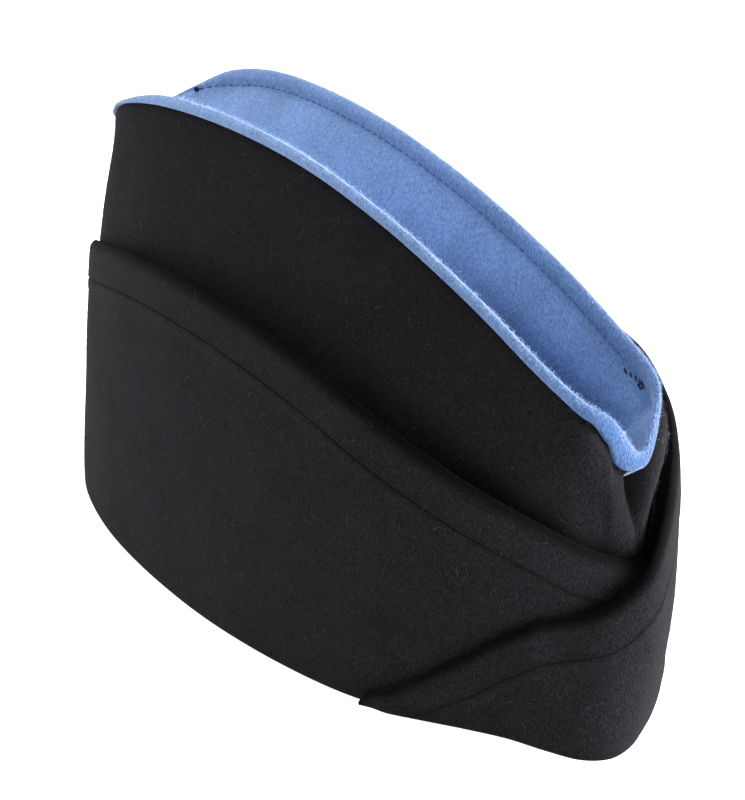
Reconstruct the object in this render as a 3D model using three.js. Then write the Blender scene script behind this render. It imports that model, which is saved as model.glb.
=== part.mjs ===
import * as THREE from "three";

// Side cap, sizes in millimetres: +X is the front, +Y the wearer's left, the base rests on z = 0

// The tables below count X from the widest section; the middle of the whole length lies here
const MIDDLE_X = -2.5;

// Cloth and the small gaps between neighbouring layers
const CLOTH = 2;
const LAYER_GAP = 0.5;
const SEAM_HALF_GAP = 0.15;

// Side panel: how far its fullest line leans in from the fold at the back and from the middle on,
// and the height of that line
const PANEL_LEAN = { back: 0.46, middle: 0.06, until: 0.36 };
const PANEL_FULL_HEIGHT = 0.6;
const PANEL_STEPS = { along: 44, up: 10 };

// Groove where the two side panels meet at the front, under the end of the blue top
const GROOVE_DEPTH = 5;
const GROOVE_WIDTH = { low: 1.5, high: 3.8 };
const GROOVE_RISE = { from: 48, to: 70 };

// Front of the side panels: drawn in low down beside the seam and puffed out under the rim
const FRONT_PINCH = { depth: 2.6, low: 30, high: 60 };
const FRONT_BELLY = { depth: 1.5, height: 47, spread: 10 };
const FRONT_PUFF = { depth: 2.6, below: 9, spread: 9 };

// Dent of the side panels' back edge, some way under the rim
const BACK_DIP = { depth: 1.3, below: 20, spread: 13 };

// Blue ridge: the height of blue that shows outside along the rim of each side, and its outward flare
const LIP = 3.6;
const LIP_RIGHT = [
  { share: 0, height: LIP, flare: 0 },
  { share: 0.78, height: LIP, flare: 0 },
  { share: 0.86, height: 4.4, flare: 0.3 },
  { share: 0.93, height: 6.6, flare: 0.5 },
  { share: 0.95, height: 8.6, flare: 0.4 },
  { share: 1, height: 4.4, flare: 0.2 },
];
const LIP_LEFT = [
  { share: 0, height: LIP, flare: 0 },
  { share: 0.86, height: LIP, flare: 0 },
  { share: 0.95, height: 4, flare: 0.3 },
  { share: 1, height: 4.4, flare: 0.2 },
];

// The right side's rim stands a little higher beside the front tip
const RIGHT_LIFT = { height: 3.6, share: 0.93, spread: 0.05, fadeFrom: 0.95 };
const LIP_GAP = 0.6;
const DROP_LEAN = 0.4;
const PANEL_TOP_INSET = -0.2;
const PANEL_EDGE = { cloth: 1, from: 0.84, to: 0.95 };
const GUSSET_CLOTH = 1.9;
const GUSSET_STEPS = 64;

// Turn-up: outward swell of its wall, and the part of its length over which the fold turns plain
const CURTAIN_SWELL = { back: 0.1, middle: 1.8, until: 60 };
const CURTAIN_STEPS = 50;
const RIGHT_CURTAIN_END = 1.01;
const RIGHT_FOLD = { returnEnds: 0.66, footBegins: 0.74, footEnds: 0.86 };
const LEFT_FOLD = { returnEnds: 0.31, footBegins: 0.36, footEnds: 0.42 };

// One side of the cap, from the back seam to the front seam:
// fold is the outer face at the base, hem the top of the turn-up, rim the top of the blue ridge
const SECTIONS = [
  { foldX: -127.8, foldY: 0, hemX: -123, hemY: 0, hemZ: 73.3, rimX: -109.5, rimY: 0, rimZ: 120.6 },
  { foldX: -123.2, foldY: 15, hemX: -118, hemY: 12.5, hemZ: 77.3, rimX: -106.6, rimY: 8.8, rimZ: 123.2 },
  { foldX: -112.5, foldY: 26.1, hemX: -107.5, hemY: 22, hemZ: 82.5, rimX: -99.6, rimY: 15.6, rimZ: 128.2 },
  { foldX: -95.2, foldY: 36.1, hemX: -90, hemY: 31.3, hemZ: 88, rimX: -87, rimY: 20.5, rimZ: 134.5 },
  { foldX: -68, foldY: 45.9, hemX: -64, hemY: 39.5, hemZ: 93.5, rimX: -65, rimY: 21.3, rimZ: 138 },
  { foldX: -36, foldY: 52.6, hemX: -33, hemY: 45, hemZ: 96, rimX: -35, rimY: 19.8, rimZ: 137.2 },
  { foldX: -2, foldY: 56.2, hemX: -1, hemY: 46.8, hemZ: 94, rimX: -3, rimY: 18.2, rimZ: 132.4 },
  { foldX: 32, foldY: 55.5, hemX: 31, hemY: 46.5, hemZ: 87.8, rimX: 30, rimY: 17.3, rimZ: 123 },
  { foldX: 60, foldY: 50.6, hemX: 58, hemY: 43.5, hemZ: 78.5, rimX: 62, rimY: 16.6, rimZ: 110.2 },
  { foldX: 82, foldY: 39, hemX: 80, hemY: 37, hemZ: 69, rimX: 86, rimY: 15.6, rimZ: 98 },
  { foldX: 96.5, foldY: 25, hemX: 96.5, hemY: 26, hemZ: 59.5, rimX: 99.6, rimY: 13.6, rimZ: 90.5 },
  { foldX: 105, foldY: 12.5, hemX: 106.5, hemY: 13, hemZ: 50.5, rimX: 104.6, rimY: 8.6, rimZ: 83.5 },
  { foldX: 109, foldY: 0, hemX: 111.2, hemY: 0, hemZ: 46, rimX: 108, rimY: 0, rimZ: 75.5 },
];

// The left turn-up leaves the sections after this row and wraps round the front to the right side
const WRAP_AFTER_ROW = 7;
const WRAP = [
  { foldX: 60, foldY: 51, hemX: 60, hemY: 48.5, hemZ: 78.5 },
  { foldX: 82, foldY: 40, hemX: 79, hemY: 42, hemZ: 70.3 },
  { foldX: 97, foldY: 27.5, hemX: 93.2, hemY: 31.2, hemZ: 64.5 },
  { foldX: 107.5, foldY: 14, hemX: 105.2, hemY: 17.8, hemZ: 61 },
  { foldX: 114, foldY: 4, hemX: 112.9, hemY: 6.6, hemZ: 54 },
  { foldX: 118.6, foldY: -5, hemX: 117, hemY: -3, hemZ: 46.5 },
  { foldX: 122, foldY: -13.2, hemX: 115.2, hemY: -11.2, hemZ: 40.4 },
  { foldX: 122.4, foldY: -21.2, hemX: 110.8, hemY: -17.9, hemZ: 36.2 },
  { foldX: 117.6, foldY: -27.6, hemX: 103.6, hemY: -23.9, hemZ: 33.8 },
  { foldX: 108.6, foldY: -31.4, hemX: 99.4, hemY: -29.9, hemZ: 31.8 },
  { foldX: 98, foldY: -34.8, hemX: 92.9, hemY: -34.4, hemZ: 27.4 },
  { foldX: 88, foldY: -39.6, hemX: 85.7, hemY: -40.1, hemZ: 21 },
  { foldX: 78, foldY: -45, hemX: 76.5, hemY: -45.5, hemZ: 13.7 },
  { foldX: 69, foldY: -49.8, hemX: 68.3, hemY: -50.2, hemZ: 7.4 },
  { foldX: 62.5, foldY: -52.7, hemX: 62.3, hemY: -52.9, hemZ: 2.6 },
];

// Floor of the blue top along the middle, from its back end to its front end
const SPINE = [
  { x: -97, z: 115 },
  { x: -86, z: 111.5 },
  { x: -58, z: 106.5 },
  { x: -3, z: 96.5 },
  { x: 56, z: 79.5 },
  { x: 84, z: 70 },
  { x: 98, z: 66.5 },
];

// Inner side of the blue ridge, from below the stitch at its foot up to the crest
const RIDGE_INNER = [
  { inset: 3.8, drop: 7.6 },
  { inset: 2.7, drop: 4.9 },
  { inset: 2.5, drop: 3.2 },
  { inset: 1.9, drop: 1 },
  { inset: 0.3, drop: 0 },
];

// Outer side of the ridge, from the crest to the lip's tucked lower edge
const RIDGE_OUTER = [
  { inset: -0.6, drop: 0.6 },
  { inset: -1, drop: 1.9 },
  { inset: -0.8, drop: LIP },
  { inset: 1.3, drop: LIP },
  { inset: 1.4, drop: 8.2 },
];

// The ridge gets lower and thinner toward its back and front ends
const RIDGE_BACK = { depth: 0.15, from: 0.13, to: 0.28 };
const RIDGE_FRONT = { depth: 0.35, from: 1, to: 0.86 };
const RIDGE_END = { inset: 0.6, underShare: 0.3, under: 0.15 };
const FLOOR_SHARES = [0.22, 0.46, 0.72];
const FLOOR_ROUNDING = 1.3;

// Fold at the base, from the inner return round to the wall:
// in is the face toward the side panel, out the other face
const FOLD_WITH_RETURN = [
  { inInset: 5.8, inZ: 13, outInset: 7.4, outZ: 13 },
  { inInset: 5.2, inZ: 4, outInset: 7, outZ: 3 },
  { inInset: 4.9, inZ: 2, outInset: 6.2, outZ: 0 },
  { inInset: 2.2, inZ: 2, outInset: 0.9, outZ: 0 },
  { inInset: 2, inZ: 3, outInset: 0.1, outZ: 1.4 },
];

// The same rows where the return has run out to a flat foot, and where only the plain lower edge is left
const FOLD_WITH_FOOT = [
  { inInset: 5.7, inZ: 2, outInset: 6.4, outZ: 1.2 },
  { inInset: 5.2, inZ: 2, outInset: 6.3, outZ: 0.5 },
  { inInset: 4.7, inZ: 2, outInset: 5.9, outZ: 0 },
  { inInset: 2.2, inZ: 2, outInset: 0.9, outZ: 0 },
  { inInset: 2, inZ: 3, outInset: 0.1, outZ: 1.4 },
];
const FOLD_PLAIN = [
  { inInset: 2, inZ: 1.4, outInset: 2, outZ: 1 },
  { inInset: 2, inZ: 1.8, outInset: 1.9, outZ: 0.4 },
  { inInset: 2, inZ: 2.2, outInset: 1.5, outZ: 0 },
  { inInset: 2, inZ: 2.5, outInset: 0.5, outZ: 0 },
  { inInset: 2, inZ: 3, outInset: 0.1, outZ: 0.8 },
];

// Wall of the turn-up by its share of the height up to the hem, then the hem by its distance below the top
const WALL_SHARES = [0.14, 0.34, 0.56, 0.78];
const HEM_ROWS = [
  { below: 13, outInset: 0, inInset: 2 },
  { below: 11.6, outInset: -0.4, inInset: 2.1 },
  { below: 3, outInset: -0.5, inInset: 2.2 },
  { below: 0.8, outInset: -0.2, inInset: 2 },
  { below: 0, outInset: 0.5, inInset: 1.5 },
];
const HEM_FULL_HEIGHT = 24;

const blackFelt = new THREE.MeshStandardMaterial({ name: "black_felt", color: 0x1b1b1e, roughness: 0.95 });
const blueCloth = new THREE.MeshStandardMaterial({ name: "blue_cloth", color: 0x5f86c4, roughness: 0.9 });

const mix = THREE.MathUtils.lerp;
const ease = THREE.MathUtils.smoothstep;

// Smooth line through points; 0 is the first point and 1 the last, with one more point beyond each end
function smoothLine(before, points, after) {
  const curve = new THREE.CatmullRomCurve3([before, ...points, after], false, "catmullrom", 0.5);
  const spans = points.length + 1;
  return (share) => curve.getPoint((1 + share * (points.length - 1)) / spans);
}

// Points of one named line of a table, such as fold, hem or rim
function rowPoints(rows, line) {
  return rows.map((row) => new THREE.Vector3(row[line + "X"], row[line + "Y"], row[line + "Z"] ?? 0));
}

function mirrored(point) {
  return new THREE.Vector3(point.x, -point.y, point.z);
}

// Line of one side that meets its mirror image squarely at both seams
function sideLine(line) {
  const points = rowPoints(SECTIONS, line);
  return smoothLine(mirrored(points[1]), points, mirrored(points[points.length - 2]));
}

// Line of the left turn-up, from the back seam to the low end of its flap
function wrapLine(line) {
  const side = rowPoints(SECTIONS.slice(0, WRAP_AFTER_ROW + 1), line);
  const points = [...side, ...rowPoints(WRAP, line)];
  const last = points[points.length - 1];
  const beyond = last.clone().multiplyScalar(2).sub(points[points.length - 2]);
  return smoothLine(mirrored(points[1]), points, beyond);
}

// Point of a line moved inward in plan and then downward, leaning partly square to the line
function offsetPoint(line, share, inset, drop = 0) {
  const point = line(share);
  const tangent = line(share + 0.004).sub(line(share - 0.004)).normalize();
  const outward = new THREE.Vector3(-tangent.y, tangent.x, 0).normalize();
  const down = new THREE.Vector3(0, 0, -1).addScaledVector(tangent, DROP_LEAN * tangent.z).normalize();
  return point.addScaledVector(outward, -inset).addScaledVector(down, drop);
}

const foldLine = sideLine("fold");
const hemLine = sideLine("hem");
const leftRim = sideLine("rim");
const wrapFold = wrapLine("fold");
const wrapHem = wrapLine("hem");

// Bell curve of height 1 round the middle
function bell(value, middle, width) {
  return Math.exp(-(((value - middle) / width) ** 2));
}

// Rim of the right side before it is mirrored
function rightRim(share) {
  const fade = 1 - ease(share, RIGHT_LIFT.fadeFrom, 1);
  const point = leftRim(share);
  point.z += RIGHT_LIFT.height * bell(share, RIGHT_LIFT.share, RIGHT_LIFT.spread) * fade;
  return point;
}

const spinePoints = SPINE.map((row) => new THREE.Vector3(row.x, 0, row.z));
const spineLine = smoothLine(spinePoints[0], spinePoints, spinePoints[SPINE.length - 1]);

// Named mesh from a geometry whose points have been placed
function mesh(name, geometry, material) {
  geometry.translate(-MIDDLE_X, 0, 0);
  geometry.computeVertexNormals();
  const made = new THREE.Mesh(geometry, material);
  made.name = name;
  return made;
}

// Cloth wall bent from a block; place gives a point from shares along, up and through the cloth
function clothWall(name, material, along, up, side, place) {
  const geometry = new THREE.BoxGeometry(1, 1, 1, along, up, 1);
  const points = geometry.attributes.position;
  for (let i = 0; i < points.count; i += 1) {
    const share = points.getX(i) + 0.5;
    const point = place(side < 0 ? share : 1 - share, points.getY(i) + 0.5, points.getZ(i) + 0.5);
    points.setXYZ(i, point.x, side * point.y, point.z);
  }
  return mesh(name, geometry, material);
}

// Rim line of a side, 1 being the left and -1 the right
function rimOf(side) {
  return side < 0 ? rightRim : leftRim;
}

// Height and outward flare of the blue lip along the rim of a side
function lipAt(side, share) {
  const rows = side < 0 ? LIP_RIGHT : LIP_LEFT;
  const next = Math.max(1, rows.findIndex((row) => row.share >= Math.min(share, 1)));
  const [low, high] = [rows[next - 1], rows[next]];
  const part = ease(share, low.share, high.share);
  return { height: mix(low.height, high.height, part), flare: mix(low.flare, high.flare, part) };
}

// Outward move of a side panel: its shape beside the front seam and the dent of its back edge
function panelShape(along, z, topZ) {
  const beside = ease(along, 0.72, 0.86) * (1 - ease(along, 0.92, 1));
  const pinch = FRONT_PINCH.depth * (1 - ease(z, FRONT_PINCH.low, FRONT_PINCH.high));
  const puff = FRONT_PUFF.depth * bell(z, topZ - FRONT_PUFF.below, FRONT_PUFF.spread);
  const belly = FRONT_BELLY.depth * bell(z, FRONT_BELLY.height, FRONT_BELLY.spread) * ease(along, 0.9, 1);
  const dip = BACK_DIP.depth * bell(topZ - z, BACK_DIP.below, BACK_DIP.spread) * (1 - ease(along, 0, 0.12));
  return beside * (puff * ease(topZ - z, 0, 4) - pinch) + belly - dip;
}

// Dip of the side panels toward their front seam: it opens upward and closes again right under the rim
function grooveDepth(point, topZ) {
  const rise = ease(point.z, GROOVE_RISE.from, GROOVE_RISE.to);
  const width = mix(GROOVE_WIDTH.low, GROOVE_WIDTH.high, rise);
  const across = bell(point.y, 0, width);
  const atFront = point.x > 0 ? 1 : 0;
  return GROOVE_DEPTH * across * atFront * rise * (1 - ease(point.z, topZ - 6, topZ - 0.6));
}

// Side panel: a curve from the fold up to the underside of the blue ridge, full at its middle
function crownSide(name, side) {
  const place = (along, up, through) => {
    const cloth = mix(CLOTH, PANEL_EDGE.cloth, ease(up, PANEL_EDGE.from, PANEL_EDGE.to));
    const inset = cloth * (1 - through);
    const low = offsetPoint(foldLine, along, CLOTH + LAYER_GAP + inset);
    low.z = CLOTH + LAYER_GAP;
    const lip = lipAt(side, along);
    const topInset = PANEL_TOP_INSET - 0.8 * lip.flare + inset;
    const high = offsetPoint(rimOf(side), along, topInset, lip.height + LIP_GAP);
    const lean = mix(PANEL_LEAN.back, PANEL_LEAN.middle, ease(along, 0, PANEL_LEAN.until));
    const full = low.clone().lerp(high, lean);
    full.z = high.z * PANEL_FULL_HEIGHT;
    const point = new THREE.QuadraticBezierCurve3(low, full, high).getPoint(up);
    const outward = offsetPoint(foldLine, along, -1).sub(foldLine(along));
    point.addScaledVector(outward, panelShape(along, point.z, high.z));
    point.x -= grooveDepth(point, high.z);
    point.y = Math.max(point.y, SEAM_HALF_GAP);
    return point;
  };
  return clothWall(name, blackFelt, PANEL_STEPS.along, PANEL_STEPS.up, side, place);
}

// One row of the fold, read where the return gives way to a foot and the foot to a plain edge
function foldRow(row, along, ends, face) {
  const toFoot = ease(along, ends.returnEnds, ends.footBegins);
  const toPlain = ease(along, ends.footBegins, ends.footEnds);
  const read = (column) => {
    const withFoot = mix(FOLD_WITH_RETURN[row][column], FOLD_WITH_FOOT[row][column], toFoot);
    return mix(withFoot, FOLD_PLAIN[row][column], toPlain);
  };
  return { inset: read(face + "Inset"), z: read(face + "Z") };
}

// Turn-up: a fold under the side panel's lower edge, a wall and a hem
function curtain(name, side, fold, hem, end, ends) {
  const foldRows = FOLD_WITH_RETURN.length;
  const rows = foldRows + WALL_SHARES.length + HEM_ROWS.length;
  const wallPoint = (along, rise, inset) => {
    const low = offsetPoint(fold, along, inset);
    const high = offsetPoint(hem, along, inset);
    const swell = offsetPoint(fold, along, -1).sub(offsetPoint(fold, along, 0));
    const fromBack = ease(low.x - SECTIONS[0].foldX, 0, CURTAIN_SWELL.until);
    const amount = mix(CURTAIN_SWELL.back, CURTAIN_SWELL.middle, fromBack) * ease(high.z, 6, 40);
    return low.lerp(high, rise).addScaledVector(swell, amount * Math.sin(Math.PI * rise));
  };
  const place = (alongShare, up, through) => {
    const along = alongShare * end;
    const face = through > 0.5 ? "out" : "in";
    const height = hem(along).z;
    const shrink = Math.min(1, height / HEM_FULL_HEIGHT);
    const row = Math.round(up * (rows - 1));
    const wallRow = row - foldRows;
    const hemRow = wallRow - WALL_SHARES.length;
    let inset = CLOTH * (1 - through);
    let z;
    if (hemRow >= 0) {
      inset = HEM_ROWS[hemRow][face + "Inset"];
      z = height - HEM_ROWS[hemRow].below * shrink;
    } else if (wallRow >= 0) {
      const wallLow = FOLD_PLAIN[foldRows - 1].inZ * shrink;
      z = mix(wallLow, height - HEM_ROWS[0].below * shrink, WALL_SHARES[wallRow]);
    } else {
      const from = foldRow(row, along, ends, face);
      inset = from.inset;
      z = from.z * shrink;
    }
    const point = wallPoint(along, z / height, inset);
    if (along < 0.02) {
      point.y = Math.max(point.y, SEAM_HALF_GAP);
    }
    return point;
  };
  return clothWall(name, blackFelt, CURTAIN_STEPS, rows - 1, side, place);
}

// Inner side of the blue ridge on one side of the cap
function ridgeInner(side, share, row) {
  const back = ease(share, RIDGE_BACK.from, RIDGE_BACK.to);
  const front = 1 - ease(share, RIDGE_FRONT.to, RIDGE_FRONT.from);
  const depth = mix(RIDGE_BACK.depth, 1, back) * mix(RIDGE_FRONT.depth, 1, front);
  const inset = row.inset * mix(RIDGE_END.inset, 1, back * front);
  return offsetPoint(rimOf(side), share, inset, row.drop * depth);
}

// Outer side of the ridge, stretched to the lip's height and flare
function ridgeOuter(side, share, row) {
  const depth = mix(RIDGE_END.under, 1, ease(Math.min(share, 1 - share), 0, RIDGE_END.underShare));
  const lip = lipAt(side, share);
  const lipPart = Math.min(row.drop / LIP, 1);
  const drop = lipPart * lip.height + Math.max(row.drop - LIP, 0) * depth;
  return offsetPoint(rimOf(side), share, row.inset - lipPart * lip.flare, drop);
}

// Cloth between the foot of the ridge and the floor line in the middle
function floorPoint(share, toward, from, sink) {
  const floor = spineLine(share);
  floor.z -= sink;
  const point = from.clone().lerp(floor, toward);
  point.z = mix(from.z, floor.z, 1 - (1 - toward) ** FLOOR_ROUNDING);
  return point;
}

// Blue top: its ridge runs round the rim and its cloth sinks from there to the floor line in the middle
function topGusset(name) {
  const outToIn = [...FLOOR_SHARES, 1];
  const upperFloor = (toward) => (side, share) => {
    return floorPoint(share, toward, ridgeInner(side, share, RIDGE_INNER[0]), 0);
  };
  const lowerFloor = (toward) => (side, share) => {
    return floorPoint(share, toward, ridgeOuter(side, share, RIDGE_OUTER.at(-1)), GUSSET_CLOTH);
  };
  const profile = [
    ...outToIn.toReversed().map(upperFloor),
    ...RIDGE_INNER.map((row) => (side, share) => ridgeInner(side, share, row)),
    ...RIDGE_OUTER.map((row) => (side, share) => ridgeOuter(side, share, row)),
    ...outToIn.map(lowerFloor),
  ];
  const outline = profile.map((_, row) => new THREE.Vector2(1, row));
  const geometry = new THREE.LatheGeometry(outline, GUSSET_STEPS);
  const points = geometry.attributes.position;
  const half = GUSSET_STEPS / 2;
  for (let i = 0; i < points.count; i += 1) {
    const step = Math.floor(i / profile.length) % GUSSET_STEPS;
    const side = step < half ? 1 : -1;
    const share = (side > 0 ? step : GUSSET_STEPS - step) / half;
    const point = profile[i % profile.length](side, share);
    const across = step === 0 || step === half ? 0 : side * point.y;
    points.setXYZ(i, point.x, across, point.z);
  }
  return mesh(name, geometry, blueCloth);
}

const cap = new THREE.Group();
cap.name = "side_cap";
cap.add(crownSide("crown_side_right", -1));
cap.add(crownSide("crown_side_left", 1));
cap.add(topGusset("top_gusset"));
cap.add(curtain("curtain_right", -1, foldLine, hemLine, RIGHT_CURTAIN_END, RIGHT_FOLD));
cap.add(curtain("curtain_left", 1, wrapFold, wrapHem, 1, LEFT_FOLD));

export default cap;
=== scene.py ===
"""Side cap of black felt with a blue cloth top, its folds, hems, stitches and loose fibres."""

import math

import bpy
import numpy as np
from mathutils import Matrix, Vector


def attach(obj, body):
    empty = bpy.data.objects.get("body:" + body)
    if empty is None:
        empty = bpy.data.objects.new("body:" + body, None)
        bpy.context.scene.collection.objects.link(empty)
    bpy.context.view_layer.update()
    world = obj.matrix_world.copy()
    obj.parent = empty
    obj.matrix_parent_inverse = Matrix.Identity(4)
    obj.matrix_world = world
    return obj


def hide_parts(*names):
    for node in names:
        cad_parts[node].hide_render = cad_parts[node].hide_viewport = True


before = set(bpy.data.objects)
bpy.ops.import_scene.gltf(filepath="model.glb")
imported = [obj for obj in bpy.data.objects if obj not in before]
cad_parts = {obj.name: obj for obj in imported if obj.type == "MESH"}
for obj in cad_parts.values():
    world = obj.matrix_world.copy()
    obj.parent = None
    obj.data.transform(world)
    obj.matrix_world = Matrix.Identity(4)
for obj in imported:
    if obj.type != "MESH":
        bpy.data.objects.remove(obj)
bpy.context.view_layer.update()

# Shapes are in millimetres, X counted from the widest section; the frame's origin lies at MIDDLE_X
MM = 0.001
MIDDLE_X = -2.5
UP = np.array([0.0, 0.0, 1.0])
MIRROR = np.array([1.0, -1.0, 1.0])

# Steps of share over which the slope of a line and of a hem's edge are measured
TANGENT_STEP = 0.004
EDGE_STEP = 0.002

# Waves in slack cloth: how many are summed, their range of wavelengths, and what the sum is divided by
WAVES = {"count": 8, "shortest": 0.7, "longest": 1.5, "divide": 2.8}

# Cloth, seams and the gaps between layers
CLOTH = 2.0
LAYER_GAP = 0.5
SEAM_HALF_GAP = 0.002
SEAM_ROUND = {"depth": 1.1, "width": 1.0, "low": 0.35}
BACK_SEAM_SHARE = 0.02

# Side panels: lean and height of their fullest line, grid, slack and tucked top edge, then the shapes
# beside the front seam and the dip at the back; spans are shares of the side
PANEL_LEAN = {"back": 0.46, "middle": 0.06, "until": 0.36}
PANEL_FULL_HEIGHT = 0.6
PANEL_GRID = (230, 70)
PANEL_CROWDING = {"seams": 0.115, "top": 1.25}
PANEL_SLACK = {"waves": (0.22, 34.0, 3), "below": (2.0, 14.0), "back": 0.05}
FRONT_SPAN = {"in": (0.72, 0.86), "out": (0.92, 1.0)}
PANEL_TUCK = {"depth": 0.35, "height": 1.6}
PANEL_EDGE = {"cloth": 0.5, "from": 0.84, "to": 0.95}
GROOVE = {"depth": 5.0, "low": 1.5, "high": 3.8, "rise": (48.0, 70.0), "shut": (-2.0, 0.5)}
FRONT_PINCH = {"depth": 2.6, "low": 30.0, "high": 60.0}
FRONT_BELLY = {"depth": 1.5, "height": 47.0, "spread": 10.0, "span": (0.9, 1.0)}
BACK_DIP = {"depth": 2.2, "below": 13.0, "spread": 12.0, "edge": 5.0, "span": (0.08, 0.24)}
FRONT_PUFF = {"depth": 2.6, "below": 9.0, "spread": 9.0, "edge": 4.0}

# Blue lip on each side: share of the rim, height that shows outside, outward flare
LIP = 3.6
LIP_ROWS = {
    "right": np.array([
        (0.0, LIP, 0.0),
        (0.78, LIP, 0.0),
        (0.86, 3.8, 0.3),
        (0.93, 6.2, 0.5),
        (0.95, 8.6, 0.4),
        (1.0, 4.4, 0.2),
    ]),
    "left": np.array([
        (0.0, LIP, 0.0),
        (0.86, LIP, 0.0),
        (0.95, 4.0, 0.3),
        (1.0, 4.4, 0.2),
    ]),
}

# Rims: the right one's lift beside the front tip, and how both sink toward the back
RIGHT_LIFT = {"height": 3.3, "share": 0.925, "spread": 0.066, "fade": (0.95, 1.0)}
BACK_DROP = {"height": 2.5, "left": (0.02, 0.11), "right": (0.23, 0.36)}

# Seam under the lip, the cloth of the blue top, and how its ridge thins toward both ends
LIP_GAP = 0.25
DROP_LEAN = 0.4
PANEL_TOP_INSET = -0.2
PANEL_TOP_FLARE = 0.8
GUSSET_CLOTH = 1.9
GUSSET_STEPS = 500
RIDGE_END = {"inset": 0.4, "under_share": 0.3, "under": 0.15}
RIDGE_BACK = {"depth": 0.15, "from": 0.13, "to": 0.28}
RIDGE_FRONT = {"depth": 0.12, "from": 0.97, "to": 0.82}

# Turn-ups: swell and slack of the wall, the right one's front end, and the shares between which the fold
# loses its inner return and then its foot
CURTAIN_SWELL = {"back": 0.1, "middle": 1.8, "until": 60.0, "heights": (6.0, 40.0)}
CURTAIN_SLACK = {"waves": (0.25, 38.0, 11), "below": (0.5, 20.0)}
RIGHT_CURTAIN_END = 1.01
NO_TIP = 2.0
RIGHT_FOLD = (0.66, 0.74, 0.74, 1.3)
LEFT_FOLD = (0.31, 0.36, 0.56, 0.7)

# Hem: rounded double edge, its stitch line, its raised band and the faint line of the rolled edge
HEM_WIDTH = 12.0
FLAP_HEM = {"share": 0.75, "from": 0.5, "to": 0.62}
HEM_OUTER = {"inset": -0.35, "roll": 1.9, "height": 3.4}
HEM_INNER = {"inset": 2.05, "roll": 0.5, "height": 1.2}
HEM_RAISE = {"height": 0.12, "before": 0.8, "after": 0.4}
HEM_GROOVE = {"depth": 0.34, "width": 0.3}
ROLL_LINE = {"below": 3.1, "depth": 0.1, "width": 0.6, "fade": 0.6, "span": (0.15, 0.5)}
HEM_CALM = {"least": 0.35, "share": 0.06}
HEM_CORNER = {"drop": 1.3, "share": 0.012, "depth": 8.0}
HEM_DEEP = 16.0
HEM_BLEND = 2.0
HEM_ROWS = ((HEM_DEEP, 13.2, 5), (12.9, 11.1, 13), (10.6, 4.0, 9))
HEM_ROLL_ROWS = (0.05, 15)
FOLD_ROWS = 21
WALL_ROWS = 26
WALL_START = 3.0
FLAP_TIP = {"share": 0.955, "squeeze": 0.6, "end": 1.018, "nose": 0.016, "bluntness": 0.95, "inset": 1.7}
HEM_FULL_HEIGHT = 24.0
ABOVE_FOLD = (1.5, 6.0)
RELIEF_START = (0.2, 2.0)

# Painted shade on the black: darker on the rolled edge of a hem, in its stitch groove, on the side panel
# just above a hem, in the groove under the front tip and inside the cap
HEM_SHADE = {"edge": 0.9, "width": 4.3, "groove": 0.3, "spread": 1.1}
ABOVE_HEM_SHADE = {"back": 0.25, "front": 0.75, "span": (0.6, 0.78), "heights": (-6.0, 6.0)}
GROOVE_SHADE = {"dark": 0.6, "width": 5.0, "heights": (50.0, 64.0)}
INSIDE_SHADE = 0.5

# One side from the back seam to the front seam:
# fold at the base (x, y), hem of the turn-up (x, y, z), rim of the blue ridge (x, y, z)
SECTIONS = np.array([
    (-127.8, 0.0, -123.0, 0.0, 73.3, -109.5, 0.0, 120.6),
    (-123.2, 15.0, -118.0, 12.5, 77.3, -106.6, 8.8, 123.2),
    (-112.5, 26.1, -107.5, 22.0, 82.5, -99.6, 15.6, 128.2),
    (-95.2, 36.1, -90.0, 31.3, 88.0, -87.0, 20.5, 134.5),
    (-68.0, 45.9, -64.0, 39.5, 93.5, -65.0, 21.3, 138.0),
    (-36.0, 52.6, -33.0, 45.0, 96.0, -35.0, 19.8, 137.2),
    (-2.0, 56.2, -1.0, 46.8, 94.0, -3.0, 18.2, 132.4),
    (32.0, 55.5, 31.0, 46.5, 87.8, 30.0, 17.3, 123.0),
    (60.0, 50.6, 58.0, 43.5, 78.5, 62.0, 16.6, 110.2),
    (82.0, 39.0, 80.0, 37.0, 69.0, 86.0, 15.6, 98.0),
    (96.5, 25.0, 96.5, 26.0, 59.5, 99.6, 13.6, 90.5),
    (105.0, 12.5, 106.5, 13.0, 50.5, 104.6, 8.6, 83.5),
    (109.0, 0.0, 111.2, 0.0, 46.0, 108.0, 0.0, 75.5),
])

# The left turn-up leaves the sections after this row and wraps round the front: fold (x, y), hem (x, y, z)
WRAP_AFTER_ROW = 7
WRAP = np.array([
    (60.0, 51.0, 60.0, 49.3, 80.9),
    (82.0, 40.0, 79.0, 42.9, 72.3),
    (97.0, 27.5, 93.4, 31.6, 65.0),
    (107.5, 14.0, 105.2, 17.8, 61.0),
    (114.0, 4.0, 112.9, 6.6, 54.0),
    (118.6, -5.0, 117.0, -3.0, 46.5),
    (122.0, -13.2, 115.2, -11.2, 40.4),
    (122.4, -21.2, 110.8, -17.9, 36.2),
    (117.6, -27.6, 103.6, -23.9, 33.8),
    (108.6, -31.4, 99.4, -29.9, 31.8),
    (98.0, -34.8, 92.9, -34.4, 27.4),
    (88.0, -39.6, 85.7, -40.1, 21.0),
    (78.0, -45.0, 76.5, -45.5, 13.7),
    (69.0, -49.8, 68.3, -50.2, 7.4),
    (62.5, -52.7, 62.3, -52.9, 4.4),
])

# Floor of the blue top along the middle (x, z), from its back end to its front end
SPINE = np.array([
    (-97.0, 115.0), (-86.0, 111.5), (-58.0, 106.5), (-3.0, 96.5), (56.0, 79.5), (84.0, 70.0), (98.0, 66.5),
])
FLOOR_SHARES = (1.0, 0.86, 0.72, 0.58, 0.44, 0.3, 0.18, 0.08)
FLOOR_ROUNDING = 1.3
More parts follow.
